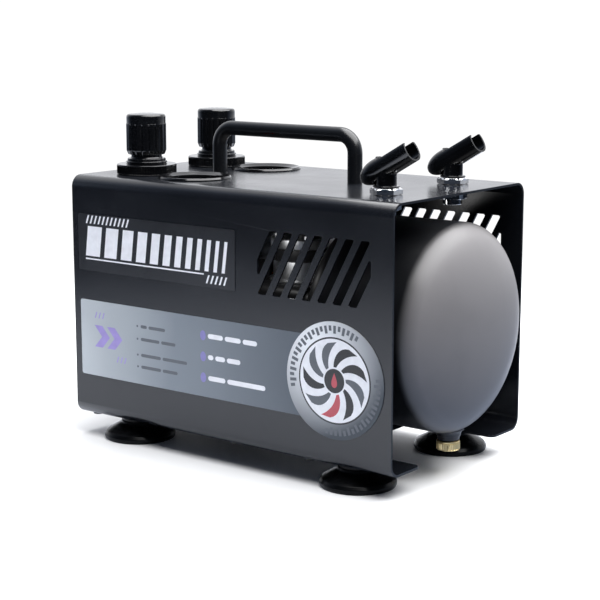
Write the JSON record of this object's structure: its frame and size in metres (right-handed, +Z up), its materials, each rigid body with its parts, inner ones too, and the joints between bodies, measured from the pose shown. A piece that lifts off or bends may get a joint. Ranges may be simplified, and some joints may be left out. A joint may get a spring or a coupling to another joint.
{
  "type": "airbrush compressor",
  "caption": "Portable airbrush compressor: slotted sheet-metal case on suction feet, round tank at the open end, carrying handle, regulators, gauges and airbrush holders on top.",
  "frame": {"origin": "on the table, under the middle of the compressor's box", "axes": "+X along the case towards the tank's dome, -Y towards the labelled side, +Z up"},
  "size_m": [0.281, 0.153, 0.2185],
  "materials": {
    "powder_black": "fine satin powder coat",
    "handle_black": "smooth satin paint",
    "tank_paint": "satin dark grey paint",
    "black_rubber": "glossy moulded rubber",
    "hose": "smooth polyurethane hose",
    "gloss_black": "polished black plastic",
    "matte_black": "fine moulded plastic",
    "rocker_black": "polished black plastic",
    "chrome": "polished plating",
    "zinc_steel": "zinc plated",
    "brass": "turned brass",
    "cast_aluminium": "die cast and machined",
    "pump_paint": "dark satin paint on a casting",
    "lamination": "stacked steel sheets",
    "winding": "lacquered copper wire",
    "glass": "clear gauge lens",
    "dial_black": "printed dial",
    "needle_red": "painted pointer",
    "name_gloss": "gloss black label",
    "info_silver": "satin silver label",
    "badge_silver": "satin silver label"
  },
  "bodies": {
    "case": {"air_hoses": "hose", "air_outlets": "brass", "base_plate": "powder_black", "case_screws": "powder_black", "cover": "powder_black", "crankcase": "pump_paint", "crankcase_cover": "pump_paint", "cylinder": "cast_aluminium", "cylinder_head": "cast_aluminium", "drain_boss": "tank_paint", "end_bell": "cast_aluminium", "end_panel": "powder_black", "foot_studs": "zinc_steel", "gauge_bezels": "gloss_black", "gauge_cases": "matte_black", "gauge_dials": "dial_black", "gauge_lenses": "glass", "handle": "handle_black", "holder_sockets": "chrome", "info_panel": "info_silver", "intake_filter": "matte_black", "motor_bracket": "powder_black", "name_plate": "name_gloss", "power_inlet": "matte_black", "pressure_switch": "matte_black", "regulator_bodies": "cast_aluminium", "regulator_bonnets": "gloss_black", "regulator_rings": "gloss_black", "rocker_switch_body": "matte_black", "round_badge": "badge_silver", "rubber_mounts": "black_rubber", "safety_valve_body": "brass", "shaft_bearings": "zinc_steel", "stator_core": "lamination", "stator_windings": "winding", "suction_feet": "black_rubber", "supply_tee": "brass", "tank_barrel": "tank_paint", "tank_fittings": "brass", "tank_head_left": "tank_paint", "tank_head_right": "tank_paint", "tank_saddle": "powder_black", "valve_plate": "matte_black"},
    "stem_front": {"regulator_stem_front": "zinc_steel"},
    "stem_rear": {"regulator_stem_rear": "zinc_steel"},
    "knob_front": {"regulator_knob_front": "gloss_black"},
    "knob_rear": {"regulator_knob_rear": "gloss_black"},
    "needle_front": {"gauge_needle_front": "needle_red"},
    "needle_rear": {"gauge_needle_rear": "needle_red"},
    "holder_front": {"airbrush_holder_front": "gloss_black"},
    "holder_rear": {"airbrush_holder_rear": "gloss_black"},
    "drain": {"drain_knob": "brass"},
    "rocker": {"rocker_button": "rocker_black"},
    "rotor": {"motor_shaft": "zinc_steel", "rotor_core": "lamination", "fan": "matte_black", "crank_disc": "lamination"},
    "piston": {"piston": "cast_aluminium", "connecting_rod": "cast_aluminium"},
    "relief_ring": {"safety_valve_ring": "brass"}
  },
  "joints": [
    {"name": "lock_push_front", "type": "slide", "parent": "case", "child": "stem_front", "axis": [0, 0, 1], "range_m": [-0.0015, 0]},
    {"name": "knob_turn_front", "type": "hinge", "parent": "stem_front", "child": "knob_front", "pos_m": [-0.1075, -0.036, 0.205], "axis": [0, 0, 1], "range_deg": [-450, 630]},
    {"name": "needle_turn_front", "type": "hinge", "parent": "case", "child": "needle_front", "pos_m": [-0.0635, -0.037, 0.1692], "axis": [0, 0, -1], "range_deg": [0, 270]},
    {"name": "holder_swivel_front", "type": "hinge", "parent": "case", "child": "holder_front", "pos_m": [0.0888, -0.037, 0.175], "axis": [0, 0, 1], "continuous": true},
    {"name": "lock_push_rear", "type": "slide", "parent": "case", "child": "stem_rear", "axis": [0, 0, 1], "range_m": [-0.0015, 0]},
    {"name": "knob_turn_rear", "type": "hinge", "parent": "stem_rear", "child": "knob_rear", "pos_m": [-0.1075, 0.036, 0.205], "axis": [0, 0, 1], "range_deg": [-450, 630]},
    {"name": "needle_turn_rear", "type": "hinge", "parent": "case", "child": "needle_rear", "pos_m": [-0.0635, 0.037, 0.1692], "axis": [0, 0, -1], "range_deg": [0, 270]},
    {"name": "holder_swivel_rear", "type": "hinge", "parent": "case", "child": "holder_rear", "pos_m": [0.0888, 0.037, 0.175], "axis": [0, 0, 1], "continuous": true},
    {"name": "drain_turn", "type": "hinge", "parent": "case", "child": "drain", "pos_m": [0.1121, 0, 0.02], "axis": [0, 0, -1], "range_deg": [0, 540]},
    {"name": "rocker_press", "type": "hinge", "parent": "case", "child": "rocker", "pos_m": [-0.125, 0.038, 0.046], "axis": [0, -1, 0], "range_deg": [0, 16]},
    {"name": "motor_spin", "type": "hinge", "parent": "case", "child": "rotor", "pos_m": [-0.05, 0, 0.077], "axis": [1, 0, 0], "continuous": true},
    {"name": "piston_slide", "type": "slide", "parent": "case", "child": "piston", "axis": [0, 0, 1], "range_m": [0, 0.01]},
    {"name": "relief_pull", "type": "slide", "parent": "case", "child": "relief_ring", "axis": [-1, 0, 0], "range_m": [0, 0.0025], "stiffness_N_per_m": 400}
  ]
}
